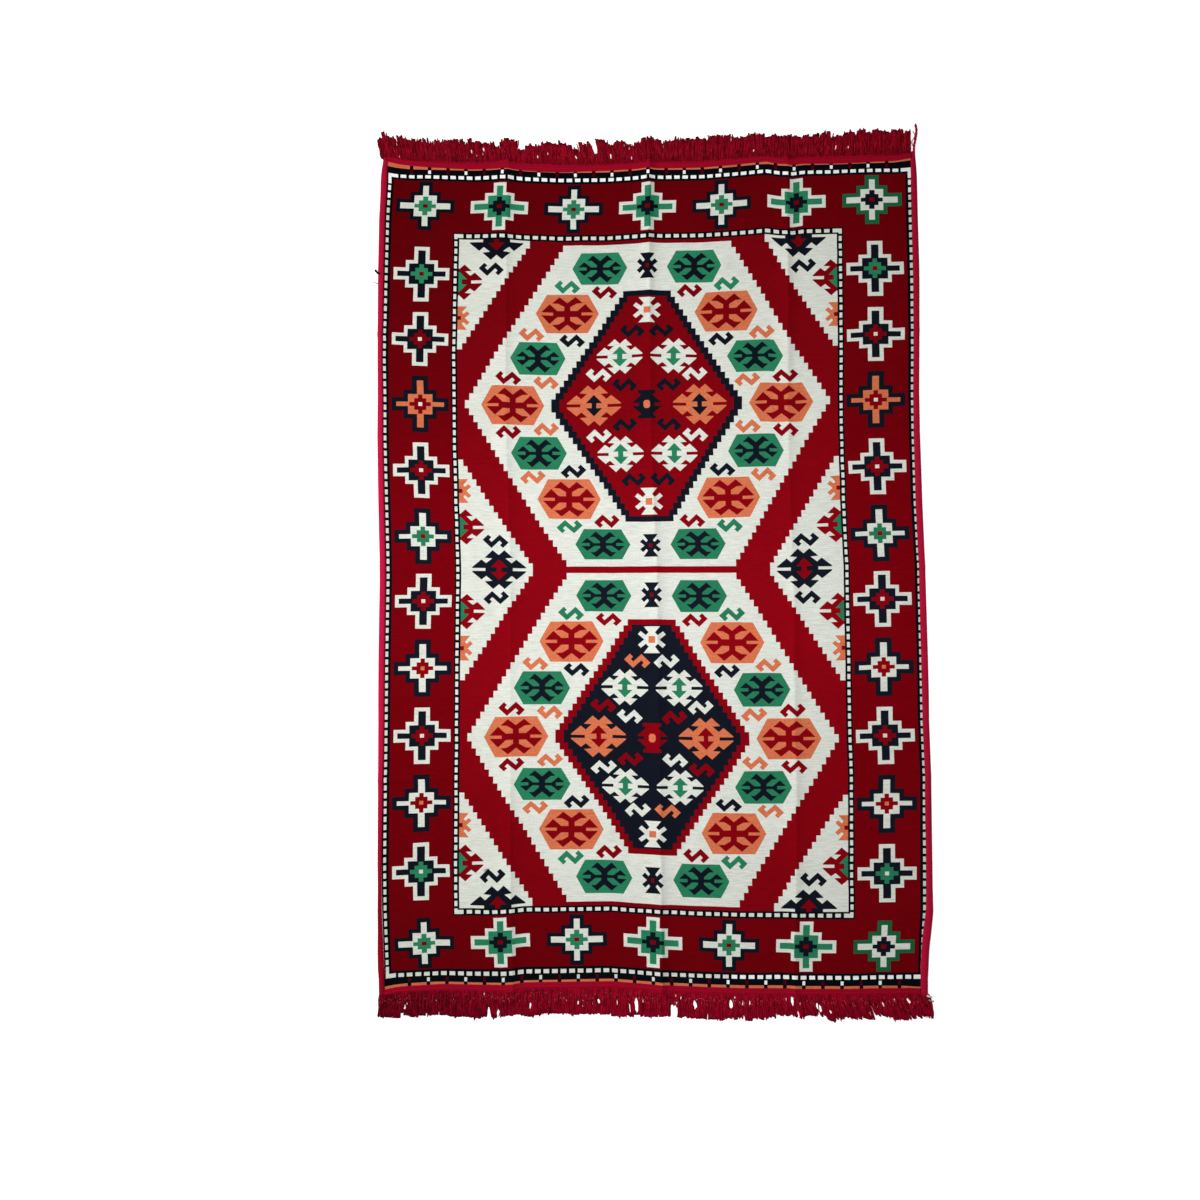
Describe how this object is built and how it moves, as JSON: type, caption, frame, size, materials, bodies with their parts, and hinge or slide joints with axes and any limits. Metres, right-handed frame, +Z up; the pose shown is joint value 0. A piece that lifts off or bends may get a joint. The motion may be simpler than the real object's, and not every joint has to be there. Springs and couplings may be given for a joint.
{
  "type": "kilim rug",
  "caption": "Rectangular flat-woven kilim rug lying open on the floor, with soft fold creases, overcast side bindings and a crimson cut fringe taped over both ends.",
  "frame": {"origin": "under the middle of the rug's bounding box, on the floor it lies on", "axes": "+X across the rug to the right, +Y along its length towards its top end, +Z up out of the patterned face"},
  "size_m": [1.231, 2.0058, 0.0159],
  "materials": {
    "woven_cloth": "flat-woven yarn in dark red, off-white, green, orange and blue-black, matt",
    "binding_yarn": "overcast crimson yarn roll, slightly glossy",
    "fringe_yarn": "loose crimson yarn strands and their sewn tape, matt"
  },
  "bodies": {
    "root": {"woven_cloth": "woven_cloth", "side_binding_left": "binding_yarn", "side_binding_right": "binding_yarn", "fringe_top": "fringe_yarn", "fringe_bottom": "fringe_yarn"}
  },
  "joints": []
}
